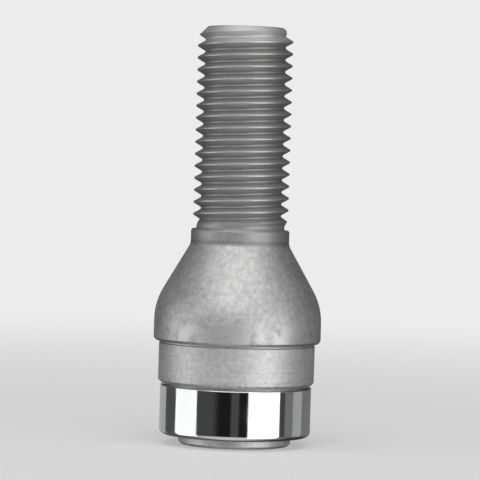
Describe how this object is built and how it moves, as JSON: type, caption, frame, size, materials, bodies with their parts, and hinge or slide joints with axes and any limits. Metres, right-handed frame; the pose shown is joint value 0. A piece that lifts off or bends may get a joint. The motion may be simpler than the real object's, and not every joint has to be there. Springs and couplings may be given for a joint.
{
  "type": "locking wheel bolt",
  "caption": "Locking wheel bolt: chrome capped round head with a coded key groove, turned collar and flange, 60 degree cone seat, threaded shank.",
  "frame": {"origin": "centre of the boss's flat end face, on which the bolt stands head down", "axes": "+Z along the bolt's axis from the head's end face to the tip of the thread; X and Y are free, the key groove's waves start from +X"},
  "size_m": [0.0208, 0.0208, 0.0521],
  "materials": {
    "bolt_steel": "satin pale grey corrosion coating over turned and forged steel, bright on the turned bands",
    "cap_chrome": "mirror bright nickel chrome plating"
  },
  "bodies": {
    "root": {"wheel_bolt": "bolt_steel", "chrome_cap": "cap_chrome"}
  },
  "joints": []
}
